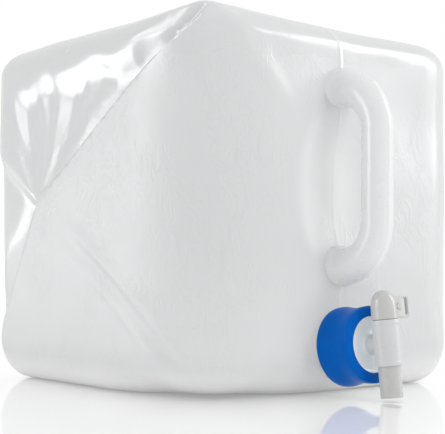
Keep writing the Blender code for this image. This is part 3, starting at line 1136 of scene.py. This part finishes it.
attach(bagPiece, "container")
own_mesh(bagPiece)
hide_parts(*bagNodes)
rides = [
    (handlePiece, "container", "carry_handle", "bag"),
    (neckPiece, "container", "neck", "bag"),
    (ringPiece, "ring", "ring_nut", "ring"),
    (tapPiece, "tap", "tap_body", "tap"),
    (corePiece, "valve", "valve_core", "core"),
]
for piece, body, node, slot in rides:
    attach(piece, body)
    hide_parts(node)
print("pieces ride on their bodies")

floorLook = dict(colour=0.93, roughness=0.06, glow=0.11, size=14.0, drop=0.0004)


def makeFloor():
    shape = bmesh.new()
    bmesh.ops.create_grid(shape, x_segments=1, y_segments=1, size=floorLook["size"] / 2)
    mesh = bpy.data.meshes.new("floor")
    shape.to_mesh(mesh)
    shape.free()
    material, _, shader = newMaterial("floorGloss")
    shade = floorLook["colour"]
    shader.inputs["Base Color"].default_value = (shade, shade, shade, 1)
    shader.inputs["Roughness"].default_value = floorLook["roughness"]
    shader.inputs["Emission Color"].default_value = (1, 1, 1, 1)
    shader.inputs["Emission Strength"].default_value = floorLook["glow"]
    floor = linkObject("floor", mesh, material)
    floor.location.z = -floorLook["drop"]


studio = dict(ambient=1.20, cameraSide=0.81, backdrop=1.0)
view = dict(azimuth=40.0, distance=0.993, aside=-0.016, height=0.131, lens=111.6, shiftUp=0.0247)


def makeWorld():
    world = bpy.data.worlds.new("studio")
    world.use_nodes = True
    scene.world = world
    tree = world.node_tree
    tree.nodes.clear()
    result = tree.nodes.new("ShaderNodeOutputWorld")
    place = tree.nodes.new("ShaderNodeTexCoord").outputs["Generated"]
    # a little darker on the camera's side
    turn = math.radians(view["azimuth"])
    toward = tree.nodes.new("ShaderNodeVectorMath")
    toward.operation = "DOT_PRODUCT"
    toward.inputs[1].default_value = (-math.sin(turn), -math.cos(turn), 0)
    tree.links.new(place, toward.inputs[0])
    strength = rangeNode(tree, toward.outputs["Value"], 0.15, 0.95, studio["ambient"], studio["cameraSide"])
    lit = tree.nodes.new("ShaderNodeBackground")
    tree.links.new(strength, lit.inputs["Strength"])
    seen = tree.nodes.new("ShaderNodeBackground")
    seen.inputs["Color"].default_value = (1, 1, 1, 1)
    seen.inputs["Strength"].default_value = studio["backdrop"]
    path = tree.nodes.new("ShaderNodeLightPath")
    mixed = tree.nodes.new("ShaderNodeMixShader")
    tree.links.new(path.outputs["Is Camera Ray"], mixed.inputs["Fac"])
    tree.links.new(lit.outputs["Background"], mixed.inputs[1])
    tree.links.new(seen.outputs["Background"], mixed.inputs[2])
    tree.links.new(mixed.outputs["Shader"], result.inputs["Surface"])


# each heading is measured from +X towards +Y, in degrees; a shine box shows only in reflections
softBoxes = dict(
    rightBox=dict(heading=-30, climb=26, size=(0.50, 0.95), power=9.5, use="shine"),
    leftBox=dict(heading=160, climb=18, size=(0.85, 0.90), power=14, use="shine"),
    rightFill=dict(heading=-75, climb=20, size=(0.50, 0.95), power=3.5, use="fill"),
    edgeBox=dict(heading=-33, climb=5, size=(0.26, 0.80), power=2.6, use="shine"),
    leftFill=dict(heading=165, climb=11, size=(0.50, 0.50), power=0.6, use="fill"),
)
boxDistance = 1.6
boxTarget = Vector((0, 0, 0.14))
tableGlow = dict(place=(-1.10, 0.72, 0.012), size=(1.4, 1.3), power=38)


def areaLamp(name, size, power, use):
    light = bpy.data.lights.new(name, "AREA")
    light.shape = "RECTANGLE"
    light.size, light.size_y = size
    light.energy = power
    lamp = bpy.data.objects.new(name, light)
    scene.collection.objects.link(lamp)
    lamp.visible_diffuse = use == "fill"
    lamp.visible_glossy = use == "shine"
    lamp.visible_camera = False
    return lamp


def softBox(name, heading, climb, size, power, use):
    lamp = areaLamp(name, size, power, use)
    turn, lift = math.radians(heading), math.radians(climb)
    direction = Vector((math.cos(turn) * math.cos(lift), math.sin(turn) * math.cos(lift), math.sin(lift)))
    lamp.location = boxTarget + direction * boxDistance
    lamp.rotation_euler = direction.to_track_quat("Z", "Y").to_euler()


def makeTableGlow():
    # the bright patch that a low lamp throws on the table, far to the left
    lamp = areaLamp("tableGlow", tableGlow["size"], tableGlow["power"], "shine")
    lamp.location = tableGlow["place"]
    lamp.rotation_euler = (math.radians(180), 0, 0)


def makeCamera():
    turn = math.radians(view["azimuth"])
    forward = Vector((math.sin(turn), math.cos(turn), 0))
    right = Vector((math.cos(turn), -math.sin(turn), 0))
    corner = Vector((-halfWidth, -halfDepth, 0))
    data = bpy.data.cameras.new("camera")
    data.lens = view["lens"]
    data.sensor_width = 36
    data.shift_y = view["shiftUp"]
    data.clip_end = 50
    camera = bpy.data.objects.new("camera", data)
    scene.collection.objects.link(camera)
    spot = corner - forward * view["distance"] - right * view["aside"]
    spot.z = view["height"]
    camera.matrix_world = frameMatrix(right, Vector((0, 0, 1)), -forward, spot)
    scene.camera = camera


makeFloor()
makeWorld()
for name, settings in softBoxes.items():
    softBox(name, **settings)
makeTableGlow()
makeCamera()
scene.view_settings.view_transform = "Standard"
print("studio ready")
